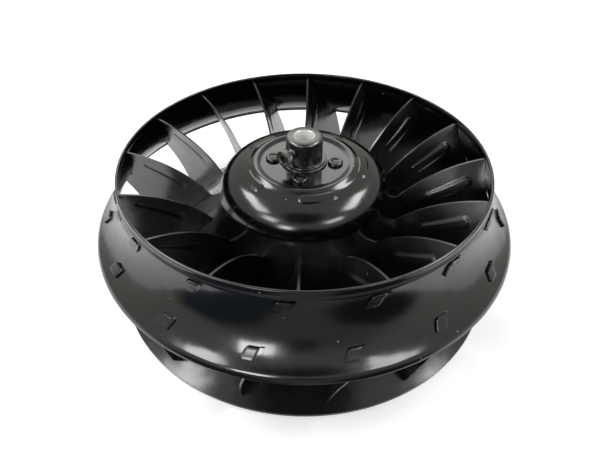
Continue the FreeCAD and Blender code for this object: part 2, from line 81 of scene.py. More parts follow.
# Back plate
PLATE_RADIUS = 164 * MM
DISH_RADIUS = 205 * MM
DISH_SLOPE = math.radians(57.261)
FOOT_RADIUS = 72 * MM
FOOT_CURVE = 12 * MM
WALL_SLOPE = math.radians(75)
WALL_LENGTH = 0.3 * MM
SHOULDER_CURVE = 24 * MM
CROWN_SLOPE = math.radians(13.879)
CROWN_RADIUS = 41 * MM
BEAD_START = 33.6 * MM
BEAD_WIDTH = 13 * MM
BEAD_HEIGHT = 1.6 * MM
DISH_X = FOOT_RADIUS + DISH_RADIUS * math.sin(DISH_SLOPE)
DISH_Z = math.sqrt((DISH_RADIUS + PLATE_SHEET) ** 2 - (DISH_X - PLATE_RADIUS) ** 2)
PAD_COUNT = 5
PAD_RADIUS = 48.3 * MM
PAD_WIDTH = 6.6 * MM
PAD_HALF_ANGLE = math.radians(13)
PAD_TURN = math.radians(-6)

# Hub
BORE_RADIUS = 7.94 * MM
UPPER_CHAMFER = 0.4 * MM
LOWER_CHAMFER = 0.8 * MM
BOSS_RADIUS = 14.7 * MM
BOSS_FILLET = 0.3 * MM
SPIGOT_RADIUS = 18.5 * MM
SPIGOT_HEIGHT = 3.6 * MM
LEDGE_WIDTH = 1.4 * MM
LEDGE_DROP = 1.6 * MM
LEDGE_ROUND = 0.6 * MM
FLANGE_RADIUS = 33 * MM
HUB_ROUND = 0.5 * MM
PLATE_HOLE = SPIGOT_RADIUS + 0.2 * MM
# Softened chamfer round the boss's top: how far in from its side and down from its top, in mm
BOSS_CORNER = ((0, 1.4), (0.12, 1.1), (1.15, 0.1), (1.4, 0))

# Rivets
RIVET_COUNT = 4
RIVET_CIRCLE = 25.3 * MM
RIVET_TURN = math.radians(-7.5)
RIVET_SHANK = 3.2 * MM
RIVET_EDGE = 1.5 * MM
RIVET_TAIL_RADIUS = 5 * MM
RIVET_TAIL_HEIGHT = 2 * MM
RIVET_TAIL_CHAMFER = 0.6 * MM
# Dimple in a rivet's head: radius and depth in mm
RIVET_DIMPLE = ((3.4, 0.05), (3.1, 0.25), (0, 0.3))

# Clamp screw
SCREW_TURN = math.radians(-131)
SCREW_HEIGHT = FLOOR_HEIGHT + 14.4 * MM
SCREW_SEAT = BOSS_RADIUS + 5.8 * MM
SCREW_CHAMFER = 0.7 * MM
KNURL_SHARE = 0.955
SOCKET_FLATS = 6 * MM
SOCKET_DEPTH = 4 * MM
SOCKET_RIM = 4.3 * MM
SOCKET_SINK = 0.5 * MM
SINK_TAPER = 0.9
THREAD_CREST = 3.9 * MM
THREAD_ROOT = 3.4 * MM
THREAD_STEP = 0.5 * MM

# Blades
BLADE_COUNT = 16
FIRST_BLADE = math.radians(87.7)
BLADE_SHEET = 1.5 * MM
BLADE_GAP = 0.2 * MM
TIP_DROP = 4 * MM
LEADING_CURVE = 116 * MM
ROOT_RADIUS = 80.6 * MM
TAIL_RADIUS = 157.7 * MM
BEND_RADIUS = 175 * MM
BEND_OFFSET = 0.3 * MM
BEND_ROLL = math.radians(-143.9)
ROLLER_DIP = math.radians(29.4)
ROLLER_SKEW = math.radians(28.3)
RIB_RADIUS = 118.8 * MM
RIB_DROP = 30 * MM
RIB_LENGTH = 33.6 * MM
RIB_TILT = math.radians(33.2)
RIB_WIDTH = 6.6 * MM
RIB_HEIGHT = 0.7 * MM
RIB_FLANK = 3 * MM
TAB_HALF_ANGLE = math.radians(4.7)
SHROUD_TABS = (math.radians(6.8), math.radians(43.6))
SLOT_CLEARANCE = 0.3 * MM
SLOT_REACH = 1.5 * MM
FLAP_WIDTH = 9.2 * MM
FLAP_CORNER = 1.9 * MM
FLAP_GAP = 0.15 * MM
PLATE_TAB_HALF_ANGLE = math.radians(1.5)
PLATE_TABS = (math.radians(43), math.radians(29))


def linear(hex_colour):
    """Scene colour of an sRGB hex value."""
    channels = [int(hex_colour[k:k + 2], 16) / 255 for k in (1, 3, 5)]
    return [c / 12.92 if c <= 0.04045 else ((c + 0.055) / 1.055) ** 2.4 for c in channels] + [1.0]


def feed(tree, node, sources):
    """Links a node's sockets from other nodes' outputs."""
    for name, (source, output) in sources.items():
        tree.links.new(source.outputs[output], node.inputs[name])


def add_node(tree, kind, settings=None, links=None):
    """Adds a node, sets its properties and sockets, and links sockets from other nodes' outputs."""
    node = tree.nodes.new(kind)
    for name, value in (settings or {}).items():
        if isinstance(name, str) and hasattr(node, name):
            setattr(node, name, value)
        else:
            node.inputs[name].default_value = value
    feed(tree, node, links or {})
    return node


def maths(tree, operation, *terms):
    """Output of a math node, whose terms are numbers or other nodes' outputs."""
    numbers = {k: term for k, term in enumerate(terms) if not isinstance(term, tuple)}
    links = {k: term for k, term in enumerate(terms) if isinstance(term, tuple)}
    return add_node(tree, "ShaderNodeMath", {"operation": operation, **numbers}, links), "Value"


def mixed(tree, share, first, second, label=""):
    """Output of a mix of two colours, each a list or another node's output."""
    tints = {6: first, 7: second}
    colours = {k: tint for k, tint in tints.items() if not isinstance(tint, tuple)}
    links = {k: tint for k, tint in tints.items() if isinstance(tint, tuple)}
    settings = {"label": label, "data_type": "RGBA", **colours}
    return add_node(tree, "ShaderNodeMix", settings, {0: share, **links}), 2


def noise(tree, place, scale, detail=2.0, roughness=0.5):
    """Output of a noise texture."""
    settings = {"Scale": scale, "Detail": detail, "Roughness": roughness}
    return add_node(tree, "ShaderNodeTexNoise", settings, {"Vector": place}), "Fac"


def rescaled(tree, source, low, high, to_low=0.0, to_high=1.0):
    """Output that runs from to_low to to_high while its source runs from low to high."""
    settings = {"From Min": low, "From Max": high, "To Min": to_low, "To Max": to_high}
    return add_node(tree, "ShaderNodeMapRange", settings, {"Value": source}), "Result"


def arc(centre_x, centre_z, radius, start, finish, count):
    """Points on an arc in a half section, as (radius, height)."""
    turns = [start + (finish - start) * k / count for k in range(count + 1)]
    return [(centre_x + radius * math.cos(turn), centre_z + radius * math.sin(turn)) for turn in turns]


def pick(piece):
    """Makes a piece the active one, and the only one that is selected."""
    bpy.ops.object.select_all(action="DESELECT")
    bpy.context.view_layer.objects.active = piece
    piece.select_set(True)


def edit(piece):
    pick(piece)
    bpy.ops.object.mode_set(mode="EDIT")


def leave_edit():
    bpy.ops.object.mode_set(mode="OBJECT")


def weld(threshold=1e-6):
    """Merges the edited piece's doubled vertices and turns its faces outwards."""
    bpy.ops.mesh.select_all(action="SELECT")
    bpy.ops.mesh.remove_doubles(threshold=threshold)
    bpy.ops.mesh.normals_make_consistent(inside=False)


def flip(piece):
    """Turns all of a piece's faces over."""
    edit(piece)
    bpy.ops.mesh.select_all(action="SELECT")
    bpy.ops.mesh.flip_normals()
    leave_edit()


def choose(piece, chosen):
    """Selects the vertices marked in a list, with the edges and faces between them, and starts editing."""
    bpy.context.tool_settings.mesh_select_mode = (True, False, False)
    mesh = piece.data
    for vertex, inside in zip(mesh.vertices, chosen):
        vertex.select = inside
    for edge in mesh.edges:
        edge.select = all(chosen[index] for index in edge.vertices)
    for face in mesh.polygons:
        face.select = all(chosen[index] for index in face.vertices)
    edit(piece)


def trace(name, points):
    """Draws a chain of edges through points, by extruding one vertex from each to the next."""
    bpy.ops.object.select_all(action="DESELECT")
    bpy.ops.mesh.primitive_plane_add(size=0.001, location=points[0])
    piece = bpy.context.object
    piece.name = name
    bpy.ops.object.transform_apply(location=True)
    edit(piece)
    bpy.ops.mesh.merge(type="CENTER")
    for before, after in zip(points, points[1:]):
        step = Vector(after) - Vector(before)
        bpy.ops.mesh.extrude_region_move(TRANSFORM_OT_translate={"value": step})
    return piece


def turned(name, outline, steps, closed=True):
    """Turns a half section about the shaft's axis."""
    ring = list(outline) + ([outline[0]] if closed else [])
    piece = trace(name, [(x, 0, z) for x, z in ring])
    bpy.ops.mesh.select_all(action="SELECT")
    bpy.ops.mesh.remove_doubles(threshold=1e-6)
    bpy.ops.mesh.spin(steps=steps, angle=2 * math.pi, center=(0, 0, 0), axis=(0, 0, 1))
    weld(2e-6)
    leave_edit()
    return piece


def apply_modifier(piece, kind, **settings):
    bpy.context.view_layer.objects.active = piece
    modifier = piece.modifiers.new(kind.title(), kind)
    for name, value in settings.items():
        setattr(modifier, name, value)
    bpy.ops.object.modifier_apply(modifier=modifier.name)


def settle(piece):
    """Applies a piece's place to its mesh."""
    pick(piece)
    bpy.ops.object.transform_apply(location=True, rotation=True, scale=True)


def copied(piece, name, angle):
    """Copy of a piece with its own mesh, turned about the shaft's axis."""
    pick(piece)
    bpy.ops.object.duplicate(linked=False)
    twin = bpy.context.object
    twin.name = name
    twin.rotation_euler.z = angle
    settle(twin)
    return twin


def remove(piece):
    pick(piece)
    bpy.ops.object.delete()


def join(pieces):
    bpy.ops.object.select_all(action="DESELECT")
    for piece in pieces:
        piece.select_set(True)
    bpy.context.view_layer.objects.active = pieces[0]
    bpy.ops.object.join()
    return pieces[0]


def expect_faces(piece, least, trouble):
    """Stops the script if a cut left a piece with too few faces."""
    if len(piece.data.polygons) < least:
        raise RuntimeError(trouble)


def finish_piece(piece, material, nodes, angle=35):
    """Smooths a piece, gives it its finish and lets it stand for its CAD nodes."""
    pick(piece)
    bpy.ops.object.shade_smooth_by_angle(angle=math.radians(angle))
    piece.data.materials.clear()
    piece.data.materials.append(material)
    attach(piece, "root")
    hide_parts(*nodes)


def on_flare(depth, turn):
    """Point at a depth under the outside of the flare, as (radius, height)."""
    reach = FLARE_RADIUS + depth
    return FLARE_X - reach * math.cos(turn), FLARE_Z - reach * math.sin(turn)


def on_dish(depth, turn):
    """Point at a depth under the top of the dish, as (radius, height)."""
    reach = DISH_RADIUS + depth
    return DISH_X - reach * math.sin(turn), DISH_Z - reach * math.cos(turn)


def on_crown(radius):
    """Height of the hub's flat floor, or of the cone that falls away from it."""
    return FLOOR_HEIGHT - max(0, radius - CROWN_RADIUS) * math.tan(CROWN_SLOPE)


def shroud_outline():
    """Half section of the shroud, from its rim down the outside over the flare and hem and back up inside."""
    outer, inner = INLET_RADIUS, INLET_RADIUS - SHROUD_SHEET
    neck = RIM_HEIGHT - NECK_BAND
    lip = RIM_HEIGHT - LIP_ROUND
    points = arc(outer - LIP_ROUND, lip, LIP_ROUND, QUARTER, 0, 4)
    points += [(outer, neck + 0.3 * MM), (outer + 0.15 * MM, neck)]
    points += [(outer + NECK_STEP - 0.15 * MM, FLARE_Z + 0.35 * MM)]
    points += arc(FLARE_X, FLARE_Z, FLARE_RADIUS, math.pi, math.pi + FLARE_TURN, 36)
    points += arc(HEM_X, HEM_Z, HEM_RADIUS, FLARE_TURN, 0, 12)[1:]
    edge = HEM_X + HEM_RADIUS
    points += arc(edge - HEM_ROUND, HEM_Z + HEM_ROUND, HEM_ROUND, 0, -QUARTER, 2)
    points += [(edge - SHROUD_SHEET + HEM_ROUND, HEM_Z)]
    points += arc(HEM_X, HEM_Z, HEM_RADIUS - SHROUD_SHEET, math.radians(2), FLARE_TURN, 9)
    points += arc(FLARE_X, FLARE_Z, FLARE_RADIUS + SHROUD_SHEET, math.pi + FLARE_TURN, math.pi, 36)[1:]
    points += [(inner + 0.1 * MM, neck)]
    points += arc(inner + LIP_ROUND, lip, LIP_ROUND, math.pi, QUARTER, 4)
    return points


def arc_between(start, finish, radius, side, count):
    """Points on an arc from start to finish, whose centre is on the left for side 1."""
    start, finish = Vector(start), Vector(finish)
    chord = finish - start
    across = Vector((-chord.y, chord.x)).normalized()
    centre = (start + finish) / 2 + across * side * math.sqrt(radius ** 2 - (chord.length / 2) ** 2)
    first = math.atan2(start.y - centre.y, start.x - centre.x)
    sweep = 2 * side * math.asin(chord.length / 2 / radius)
    return arc(centre.x, centre.y, radius, first, first + sweep, count)


def plate_outline():
    """Half section of the back plate, from the hub's edge over the bead, crown, wall and dish and back under."""
    foot_x, foot_z = on_dish(-FOOT_CURVE, DISH_SLOPE)
    wall_x = foot_x - FOOT_CURVE * math.sin(WALL_SLOPE) - WALL_LENGTH * math.cos(WALL_SLOPE)
    wall_z = foot_z - FOOT_CURVE * math.cos(WALL_SLOPE) + WALL_LENGTH * math.sin(WALL_SLOPE)
    shoulder_x = wall_x - SHOULDER_CURVE * math.sin(WALL_SLOPE)
    shoulder_z = wall_z - SHOULDER_CURVE * math.cos(WALL_SLOPE)
    crown_x = shoulder_x + SHOULDER_CURVE * math.sin(CROWN_SLOPE)
    points = [(PLATE_HOLE + 0.8 * MM * k, FLOOR_HEIGHT) for k in range(18)]
    for k in range(31):
        radius = BEAD_START + BEAD_WIDTH * k / 30
        rise = 0.5 - 0.5 * math.cos(2 * math.pi * k / 30)
        points.append((radius, on_crown(radius) + BEAD_HEIGHT * rise))
    run = crown_x - points[-1][0]
    points += [(crown_x - run * k / 36, on_crown(crown_x - run * k / 36)) for k in range(35, 0, -1)]

    high, steep, low = QUARTER - CROWN_SLOPE, QUARTER - WALL_SLOPE, -QUARTER - DISH_SLOPE
    points += arc(shoulder_x, shoulder_z, SHOULDER_CURVE, high, steep, 16)
    points += arc(foot_x, foot_z, FOOT_CURVE, -QUARTER - WALL_SLOPE, low, 6)
    under = DISH_RADIUS + PLATE_SHEET
    edge, under_edge = [-QUARTER - math.asin((DISH_X - PLATE_RADIUS) / reach) for reach in (DISH_RADIUS, under)]
    points += arc(DISH_X, DISH_Z, DISH_RADIUS, low, edge, 40)[1:]
    points += arc(DISH_X, DISH_Z, under, under_edge, low, 40)
    points += arc(foot_x, foot_z, FOOT_CURVE + PLATE_SHEET, low, -QUARTER - WALL_SLOPE, 6)[1:]
    points += arc(shoulder_x, shoulder_z, SHOULDER_CURVE - PLATE_SHEET, steep, high, 12)

    bead_out = BEAD_START + BEAD_WIDTH
    points += [(bead_out, on_crown(bead_out) - PLATE_SHEET / math.cos(CROWN_SLOPE))]
    points += [(BEAD_START + BEAD_WIDTH / 2, FLOOR_HEIGHT + BEAD_HEIGHT - PLATE_SHEET)]
    points += [(BEAD_START, FLOOR_HEIGHT - PLATE_SHEET), (PLATE_HOLE, FLOOR_HEIGHT - PLATE_SHEET)]
    return points


def raise_within(piece, reach_of, height, flank, direction, levels=8):
    """Presses a soft-edged area up: each level lifts what lies far enough inside the area's edge."""
    depths = [reach_of(vertex.co) for vertex in piece.data.vertices]
    step = height / levels
    for level in range(levels):
        share = math.acos(1 - 2 * (level + 0.5) / levels) / math.pi
        choose(piece, [depth > flank * (share - 0.5) for depth in depths])
        if direction is None:
            bpy.ops.transform.shrink_fatten(value=step)
        else:
            bpy.ops.transform.translate(value=direction * step)
        leave_edit()


def pad_depth(point):
    """How far inside the nearest pressed pad of the crown a point lies."""
    angle = math.atan2(point.y, point.x) - PAD_TURN
    turn = (angle + math.pi / PAD_COUNT) % (2 * math.pi / PAD_COUNT) - math.pi / PAD_COUNT
    over = max(0, abs(turn) - PAD_HALF_ANGLE) * PAD_RADIUS
    radius = math.hypot(point.x, point.y)
    if point.z < on_crown(radius) - 0.5 * MM:
        return -1
    return PAD_WIDTH / 2 - math.hypot(over, radius - PAD_RADIUS)


# The roller that a blade is bent round, in the blade's own place with its tip in the XZ plane
ROLLER_LEVEL = math.cos(ROLLER_DIP)
ROLLER = Vector((
    ROLLER_LEVEL * math.cos(ROLLER_SKEW), -ROLLER_LEVEL * math.sin(ROLLER_SKEW), -math.sin(ROLLER_DIP)))
ROLLER_SIDE = ROLLER.cross(Vector((0, 0, 1))).normalized()
INWARD = ROLLER_SIDE * math.cos(BEND_ROLL) + ROLLER_SIDE.cross(ROLLER) * math.sin(BEND_ROLL)
BLADE_TIP = Vector((INLET_RADIUS - SHROUD_SHEET - BLADE_GAP, 0, RIM_HEIGHT - TIP_DROP))
ROLLER_CENTRE = BLADE_TIP + INWARD * (BEND_RADIUS + BEND_OFFSET)


def blade_point(along, turn, reach):
    """Point at a distance along the roller, an angle round it and a reach from its axis."""
    across = INWARD * math.cos(turn) + ROLLER.cross(INWARD) * math.sin(turn)
    return ROLLER_CENTRE + ROLLER * along - across * reach


def blade_angle(radius, height):
    """Angle about the shaft at which the blade's back face passes through a radius and a height."""
    low, high = math.radians(-24), math.radians(4)

    def outside(angle):
        point = Vector((radius * math.cos(angle), radius * math.sin(angle), height)) - ROLLER_CENTRE
        return (point - ROLLER * point.dot(ROLLER)).length > BEND_RADIUS

    for _ in range(40):
        middle = (low + high) / 2
        if outside(middle):
            low = middle
        else:
            high = middle
    return (low + high) / 2


def blade_outline():
    """Half section of the space that a blade fills, with its tabs standing through the shroud and the plate."""
    inside = SHROUD_SHEET + BLADE_GAP
    outside = -(FLAP_GAP + BLADE_SHEET * 0.6)
    beneath = PLATE_SHEET + FLAP_GAP + BLADE_SHEET * 0.6
    points = [tuple(BLADE_TIP.xz), (BLADE_TIP.x, RIM_HEIGHT - NECK_BAND)]
    turn = 0
    for middle in SHROUD_TABS:
        start, finish = middle - TAB_HALF_ANGLE, middle + TAB_HALF_ANGLE
        steps = max(2, round((start - turn) / math.radians(3)))
        points += [on_flare(inside, turn + (start - turn) * k / steps) for k in range(steps + 1)]
        points += [on_flare(outside, start + (finish - start) * k / 4) for k in range(5)]
        turn = finish
    points += [on_flare(inside, turn + (FLARE_TURN - turn) * k / 4) for k in range(5)]
    points += arc(HEM_X, HEM_Z, HEM_RADIUS - inside, FLARE_TURN, 0, 6)[1:]
    tail = math.asin((DISH_X - TAIL_RADIUS) / (DISH_RADIUS - BLADE_GAP))
    root = math.asin((DISH_X - ROOT_RADIUS) / (DISH_RADIUS - BLADE_GAP))
    turn = tail
    for middle in sorted(PLATE_TABS):
        start, finish = middle - PLATE_TAB_HALF_ANGLE, middle + PLATE_TAB_HALF_ANGLE
        points += [on_dish(-BLADE_GAP, turn + (start - turn) * k / 5) for k in range(6)]
        points += [on_dish(beneath, start), on_dish(beneath, finish)]
        turn = finish
    points += [on_dish(-BLADE_GAP, turn + (root - turn) * k / 6) for k in range(7)]
    points += arc_between(points[-1], points[0], LEADING_CURVE, -1, 48)[1:-1]
    return points


def rib_depth(point):
    """How far inside the blade's rib a point lies."""
    place = Vector((point.x - RIB_RADIUS, point.z - RIM_HEIGHT + RIB_DROP))
    axis = Vector((math.cos(RIB_TILT), math.sin(RIB_TILT)))
    half = RIB_LENGTH / 2 - 1 * MM
    along = max(-half, min(half, place.dot(axis)))
    return RIB_WIDTH / 2 - (place - axis * along).length


def rolled(name, places, first, bends, reach):
    """Sheet rolled about the blade's roller: a line along it, carried round in stages of degrees and steps."""
    piece = trace(name, [blade_point(place, first, reach) for place in places])
    bpy.ops.mesh.select_all(action="SELECT")
    for turn, steps in bends:
        bpy.ops.mesh.spin(steps=steps, angle=-math.radians(turn), center=ROLLER_CENTRE, axis=ROLLER)
    weld()
    leave_edit()
    if piece.data.polygons[0].normal.dot(INWARD) > 0:
        flip(piece)
    return piece


def blade_sheet_piece(name):
    """Sheet rolled to the blade's cylinder, with its stiffening rib pressed in."""
    coarse, fine = 3 * MM, 0.6 * MM
    start, finish = -34 * MM, 79 * MM
    rib_start, rib_finish = -16 * MM, 26 * MM
    places = [start + coarse * k for k in range(round((rib_start - start) / coarse))]
    places += [rib_start + fine * k for k in range(round((rib_finish - rib_start) / fine))]
    places += [rib_finish + coarse * k for k in range(round((finish - rib_finish) / coarse) + 1)]
    piece = rolled(name, places, math.radians(-2.5), ((4.5, 5), (15, 78), (15, 15)), BEND_RADIUS)
    raise_within(piece, rib_depth, RIB_HEIGHT, RIB_FLANK, None)
    apply_modifier(piece, "SOLIDIFY", thickness=BLADE_SHEET, offset=-1)
    return piece


def slot_cutters():
    """Slabs that open the shroud where the blades' tabs come through, a little wide on the folded side."""
    places = [k * 4 * MM for k in range(-8, 19)]
    blank = rolled("slot_blank", places, math.radians(-2), ((30, 30),), BEND_RADIUS + 0.2 * MM)
    apply_modifier(blank, "SOLIDIFY", thickness=BLADE_SHEET + 0.8 * MM, offset=-1)
    bands = []
    for k, middle in enumerate(SHROUD_TABS):
        half = TAB_HALF_ANGLE + SLOT_CLEARANCE / FLARE_RADIUS
        turns = [middle + half * (j / 3 - 1) for j in range(7)]
        outline = [on_flare(SHROUD_SHEET + SLOT_REACH, turn) for turn in turns]
        outline += [on_flare(-SLOT_REACH, turn) for turn in reversed(turns)]
        bands.append(turned(f"slot_band_{k}", outline, 120))
    band = join(bands)
    apply_modifier(blank, "BOOLEAN", operation="INTERSECT", object=band, solver="EXACT")
    remove(band)
    ring = [copied(blank, f"slot_{k}", FIRST_BLADE - 2 * math.pi * k / BLADE_COUNT) for k in range(BLADE_COUNT)]
    remove(blank)
    return join(ring)


def flap_piece(name, point, outer, inner, turns, width, sense):
    """Folded tab end: a thin plate with rounded corners that lies along the shroud or the plate."""
    places = []
    for k in range(5):
        radius, height = point((outer + inner) / 2, turns[0] + (turns[1] - turns[0]) * k / 4)
        angle = blade_angle(radius, height)
        places.append((radius * math.cos(angle), radius * math.sin(angle), height))
    piece = trace(name, places)
    bpy.ops.mesh.select_all(action="SELECT")
    middle = point(outer, (turns[0] + turns[1]) / 2)[0]
    bpy.ops.mesh.spin(steps=4, angle=width / middle, center=(0, 0, 0), axis=(0, 0, 1))
    weld()
    leave_edit()
    vertices = piece.data.vertices
    corners = [v.index for v in vertices if sum(v.index in edge.vertices for edge in piece.data.edges) == 2]
    far = sorted(corners, key=lambda index: math.atan2(vertices[index].co.y, vertices[index].co.x))[:2]
    choose(piece, [vertex.index in far for vertex in vertices])
    bpy.ops.mesh.bevel(offset=FLAP_CORNER, segments=4, affect="VERTICES")
    leave_edit()
    face = piece.data.polygons[0]
    outward = Vector((face.center.x, face.center.y, 0)).normalized() + Vector((0, 0, 1))
    if face.normal.dot(outward * sense) < 0:
        flip(piece)
    apply_modifier(piece, "SOLIDIFY", thickness=abs(outer - inner), offset=0)
    edge = {"width": 0.4 * MM, "segments": 2, "limit_method": "ANGLE", "angle_limit": math.radians(50)}
    apply_modifier(piece, "BEVEL", **edge)
    return piece


def start_finish(name):
    """New material, with its nodes, its main shader and the Object coordinates that its textures use."""
    material = bpy.data.materials.new(name)
    material.use_nodes = True
    tree = material.node_tree
    return material, tree, tree.nodes["Principled BSDF"], (add_node(tree, "ShaderNodeTexCoord"), "Object")


def sprayed_black(name, colour, dust, gloss_range):
    """Black stove enamel on pressed steel: a soft near-black mirror with orange peel, dust and wipe marks."""
    material, tree, shader, place = start_finish(name)
    gloss = rescaled(tree, noise(tree, place, 22.0, 4.0, 0.6), 0.35, 0.7, *gloss_range)
    specks = add_node(tree, "ShaderNodeTexVoronoi", {"Scale": 150.0}, {"Vector": place})
    lone = add_node(tree, "ShaderNodeSeparateColor", {}, {"Color": (specks, "Color")})
    small = maths(tree, "LESS_THAN", (specks, "Distance"), 0.07)
    rare = maths(tree, "GREATER_THAN", (lone, "Red"), 0.93)
    tint = mixed(tree, maths(tree, "MULTIPLY", small, rare), colour, dust)
    wave = {"Height": noise(tree, place, 55.0, 1.0)}
    sag = add_node(tree, "ShaderNodeBump", {"Strength": 0.16, "Distance": 0.002}, wave)
    peel = {"Height": noise(tree, place, 420.0), "Normal": (sag, "Normal")}
    bump = add_node(tree, "ShaderNodeBump", {"Strength": 0.05, "Distance": 0.0003}, peel)
    feed(tree, shader, {"Base Color": tint, "Roughness": gloss, "Normal": (bump, "Normal")})
    shader.inputs["IOR"].default_value = 1.6
    return material


def turned_steel(name, colour, bright):
    """Lathe-turned steel hub: dark oiled skin with fine turning rings, and a reamed bore that is painted near-white
    and less metallic, as painted light for the light that comes in through the open bore.
    """
    material, tree, shader, place = start_finish(name)
    split = add_node(tree, "ShaderNodeSeparateXYZ", {}, {"Vector": place})
    squares = [maths(tree, "POWER", (split, axis), 2.0) for axis in "XY"]
    radius = maths(tree, "SQRT", maths(tree, "ADD", *squares))
    # Painted light: inside the bore the colour turns near-white and the steel less metallic, standing in for the
    # light that reaches the bore from below.
    bored = rescaled(tree, radius, BORE_RADIUS + 0.5 * MM, BORE_RADIUS + 0.3 * MM)
    rings = {"wave_type": "RINGS", "rings_direction": "Z", "Scale": 700.0}
    rings = add_node(tree, "ShaderNodeTexWave", rings, {"Vector": place}), "Fac"
    feed(tree, shader, {
        "Base Color": mixed(tree, bored, colour, bright),
        "Metallic": rescaled(tree, bored, 0.0, 1.0, 1.0, 0.3),
        "Roughness": rescaled(tree, rings, 0.0, 1.0, 0.24, 0.3),
    })
    return material


def blackened_steel(name, colour, worn):
    """Black-oxide screw steel: charcoal, with paler worn patches scattered by noise and a soft gloss."""
    material, tree, shader, place = start_finish(name)
    grain = noise(tree, place, 700.0, 3.0)
    wear = rescaled(tree, noise(tree, place, 260.0, 4.0), 0.45, 0.75)
    bump = add_node(tree, "ShaderNodeBump", {"Strength": 0.2, "Distance": 0.0001}, {"Height": grain})
    shader.inputs["Metallic"].default_value = 1.0
    feed(tree, shader, {
        "Base Color": mixed(tree, wear, colour, worn),
        "Roughness": rescaled(tree, grain, 0.3, 0.8, 0.42, 0.6),
        "Normal": (bump, "Normal"),
    })
    return material


def count_property(name, description, value, least):
    return bpy.props.IntProperty(name=name, description=description, default=value, min=least, max=360)


def length_property(name, description, value):
    return bpy.props.FloatProperty(name=name, description=description, default=value, unit="LENGTH")


def colour_property(name, description, value):
    return bpy.props.FloatVectorProperty(
        name=name, description=description, default=linear(value), subtype="COLOR", size=4, min=0, max=1)


class WheelSizes(bpy.types.PropertyGroup):
    shroud_steps: count_property("Shroud steps", "Flats round the front shroud", 256, 64)
    plate_steps: count_property("Plate steps", "Flats round the back plate", 360, 64)
    pad_height: length_property("Pad height", "How far the crown's pads stand up", 0.8 * MM)
    pad_flank: length_property("Pad flank", "Width of the slope round each pad", 1.8 * MM)
    flap_width: length_property("Flap width", "Length of each blade tab folded over", FLAP_WIDTH)
    rivet_radius: length_property("Rivet head radius", "Radius of a rivet's head", 6.2 * MM)
    rivet_height: length_property("Rivet head height", "How far a rivet's head stands up", 2.6 * MM)
    screw_radius: length_property("Screw head radius", "Radius of the clamp screw's head", 6.5 * MM)
    screw_height: length_property("Screw head height", "Length of the clamp screw's head", 5 * MM)
    knurl_teeth: count_property("Knurl teeth", "Teeth round the screw's head", 40, 12)


class WheelColours(bpy.types.PropertyGroup):
    paint: colour_property("Paint", "Gloss black enamel of the pressings", "#050505")
    dust: colour_property("Dust", "Specks of dust on the paint", "#8f8d86")
    steel: colour_property("Hub steel", "Oiled skin of the turned hub", "#5b595a")
    # Bore colour: partly the bright reamed steel, partly painted light, near-white for the light that comes in
    # through the open bore.
    bore: colour_property("Bore steel", "Reamed bore, painted pale for the light through it", "#e6e8e4")
    screw: colour_property("Screw steel", "Black oxide of the clamp screw", "#4f4d4c")
    worn: colour_property("Worn steel", "Paler worn edges of the screw", "#93918e")
    table: colour_property("Table", "White studio table", "#f4f4f4")


def start_materials(colours):
    """Finishes shared by the wheel's pieces, made once."""
    made = {
        "paint": ("gloss black enamel", sprayed_black, (colours.paint, colours.dust, (0.13, 0.21))),
        "blade": ("satin black enamel", sprayed_black, (colours.paint, colours.dust, (0.22, 0.32))),
        "steel": ("turned hub steel", turned_steel, (colours.steel, colours.bore)),
        "screw": ("black oxide screw steel", blackened_steel, (colours.screw, colours.worn)),
    }
    found = {}
    for key, (name, maker, tints) in made.items():
        found[key] = bpy.data.materials.get(name) or maker(name, *[list(tint) for tint in tints])
    return found


class FAN_OT_shroud(bpy.types.Operator):
    """Turns the flared front shroud with its rolled neck and hem"""
    bl_idname = "fan.shroud"
    bl_label = "Front Shroud"

    def execute(self, context):
        finishes = start_materials(context.scene.wheel_colours)
        piece = turned("inlet_shroud", shroud_outline(), context.scene.wheel_sizes.shroud_steps)
        cutters = slot_cutters()
        apply_modifier(piece, "BOOLEAN", operation="DIFFERENCE", object=cutters, solver="EXACT")
        remove(cutters)
        expect_faces(piece, 10000, "the shroud was lost when its slots were cut")
        finish_piece(piece, finishes["paint"], ["front_shroud"])
        return {"FINISHED"}


class FAN_OT_back_plate(bpy.types.Operator):
    """Turns the dished back plate and presses the pads into its crown"""
    bl_idname = "fan.back_plate"
    bl_label = "Back Plate"

    def execute(self, context):
        sizes = context.scene.wheel_sizes
        finishes = start_materials(context.scene.wheel_colours)
        piece = turned("dished_plate", plate_outline(), sizes.plate_steps)
        raise_within(piece, pad_depth, sizes.pad_height, sizes.pad_flank, Vector((0, 0, 1)))
        finish_piece(piece, finishes["paint"], ["back_plate"])
        return {"FINISHED"}


